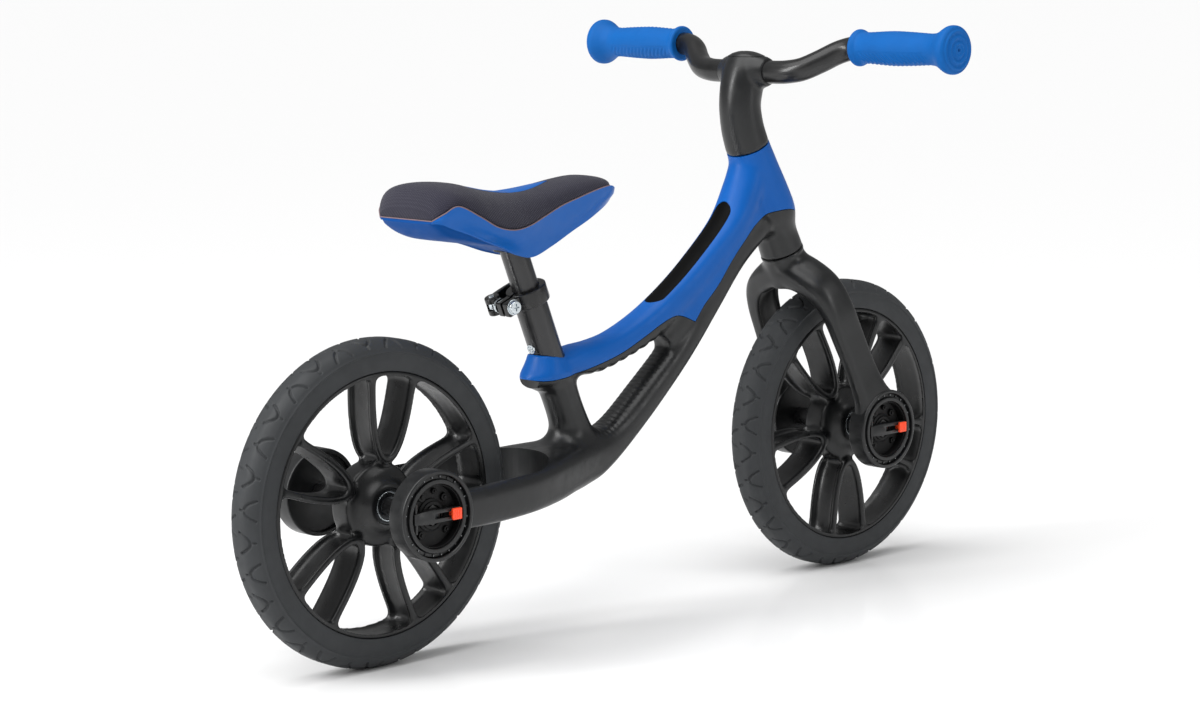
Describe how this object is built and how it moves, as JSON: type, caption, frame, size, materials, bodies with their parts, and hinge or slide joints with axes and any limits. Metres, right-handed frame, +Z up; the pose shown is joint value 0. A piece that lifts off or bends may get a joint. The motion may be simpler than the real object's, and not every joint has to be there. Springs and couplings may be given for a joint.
{
  "type": "balance bike",
  "caption": "Child's balance bike without pedals: foam-tyred wheels, moulded frame with a coloured cover, steering fork, padded height-adjustable saddle and soft bar grips.",
  "frame": {"origin": "on the ground, midway between the ends of the bike, in its centre plane", "axes": "+X forward along the bike, +Y to the rider's left, +Z up"},
  "size_m": [0.896, 0.4776, 0.5496],
  "materials": {
    "nylon": "matte glass-filled nylon",
    "cover": "satin blue moulding",
    "inlay": "satin black moulding",
    "tyre": "matte foam",
    "grip": "matte blue rubber",
    "shell": "satin blue moulding",
    "fabric": "fine charcoal weave",
    "bar": "gloss black paint",
    "tube": "satin black paint",
    "steel": "plain",
    "button": "bright orange moulding"
  },
  "bodies": {
    "frame": {"frame_body": "nylon", "frame_cover": "cover", "cover_strip": "inlay", "head_bearing_lower": "steel", "head_bearing_upper": "steel", "rear_axle": "steel", "rear_spacer_right": "inlay", "rear_spacer_left": "inlay", "rear_axle_nut_right": "tube", "rear_axle_nut_left": "tube", "adapter_ring_rear_right": "nylon", "adapter_ring_rear_left": "nylon", "lever_pin_rear_right": "steel", "lever_pin_rear_left": "steel", "seat_tube": "tube", "seat_clamp": "inlay", "clamp_bolt": "steel", "clamp_washer": "steel", "seat_tube_screw": "steel"},
    "steering": {"fork": "nylon", "steerer_tube": "tube", "stem": "nylon", "stem_cap": "nylon", "handlebar": "bar", "grip_right": "grip", "grip_left": "grip", "front_axle": "steel", "front_spacer_right": "inlay", "front_spacer_left": "inlay", "front_axle_nut_right": "tube", "front_axle_nut_left": "tube", "adapter_ring_front_right": "nylon", "adapter_ring_front_left": "nylon", "lever_pin_front_right": "steel", "lever_pin_front_left": "steel"},
    "front_wheel": {"front_tyre": "tyre", "front_wheel": "nylon", "front_bearing_right": "steel", "front_bearing_left": "steel"},
    "rear_wheel": {"rear_tyre": "tyre", "rear_wheel": "nylon", "rear_bearing_right": "steel", "rear_bearing_left": "steel"},
    "seat": {"seat_post": "tube", "seat_plate": "steel", "seat_screw_right": "steel", "seat_screw_left": "steel", "seat_shell": "shell", "seat_cushion": "fabric", "seat_patch": "shell"},
    "clamp_lever": {"clamp_lever": "inlay", "clamp_pin": "steel"},
    "lever_rear_right": {"lever_rear_right": "nylon"},
    "button_rear_right": {"lock_button_rear_right": "button"},
    "lever_rear_left": {"lever_rear_left": "nylon"},
    "button_rear_left": {"lock_button_rear_left": "button"},
    "lever_front_right": {"lever_front_right": "nylon"},
    "button_front_right": {"lock_button_front_right": "button"},
    "lever_front_left": {"lever_front_left": "nylon"},
    "button_front_left": {"lock_button_front_left": "button"}
  },
  "joints": [
    {"name": "steering", "type": "hinge", "parent": "frame", "child": "steering", "pos_m": [0.303, 0, 0.145], "axis": [-0.4202, 0, 0.9074], "range_deg": [-45, 45]},
    {"name": "front_wheel_spin", "type": "hinge", "parent": "steering", "child": "front_wheel", "pos_m": [0.303, 0, 0.145], "axis": [0, 1, 0], "continuous": true},
    {"name": "rear_wheel_spin", "type": "hinge", "parent": "frame", "child": "rear_wheel", "pos_m": [-0.303, 0, 0.145], "axis": [0, 1, 0], "continuous": true},
    {"name": "seat_height", "type": "slide", "parent": "frame", "child": "seat", "axis": [-0.3714, 0, 0.9285], "range_m": [-0.012, 0.065]},
    {"name": "clamp_lever_turn", "type": "hinge", "parent": "frame", "child": "clamp_lever", "pos_m": [-0.14323, 0.0178, 0.30273], "axis": [-0.3714, 0, 0.9285], "range_deg": [0, 110]},
    {"name": "lever_rear_right_turn", "type": "hinge", "parent": "frame", "child": "lever_rear_right", "pos_m": [-0.325, -0.0852, 0.145], "axis": [0, 0, -1], "range_deg": [0, 90]},
    {"name": "button_rear_right_press", "type": "slide", "parent": "lever_rear_right", "child": "button_rear_right", "axis": [-1, 0, 0], "range_m": [0, 0.006], "stiffness_N_per_m": 300, "springref_m": -0.004},
    {"name": "lever_rear_left_turn", "type": "hinge", "parent": "frame", "child": "lever_rear_left", "pos_m": [-0.325, 0.0852, 0.145], "axis": [0, 0, 1], "range_deg": [0, 90]},
    {"name": "button_rear_left_press", "type": "slide", "parent": "lever_rear_left", "child": "button_rear_left", "axis": [-1, 0, 0], "range_m": [0, 0.006], "stiffness_N_per_m": 300, "springref_m": -0.004},
    {"name": "lever_front_right_turn", "type": "hinge", "parent": "steering", "child": "lever_front_right", "pos_m": [0.281, -0.0643, 0.145], "axis": [0, 0, -1], "range_deg": [0, 90]},
    {"name": "button_front_right_press", "type": "slide", "parent": "lever_front_right", "child": "button_front_right", "axis": [-1, 0, 0], "range_m": [0, 0.006], "stiffness_N_per_m": 300, "springref_m": -0.004},
    {"name": "lever_front_left_turn", "type": "hinge", "parent": "steering", "child": "lever_front_left", "pos_m": [0.281, 0.0643, 0.145], "axis": [0, 0, 1], "range_deg": [0, 90]},
    {"name": "button_front_left_press", "type": "slide", "parent": "lever_front_left", "child": "button_front_left", "axis": [-1, 0, 0], "range_m": [0, 0.006], "stiffness_N_per_m": 300, "springref_m": -0.004}
  ]
}
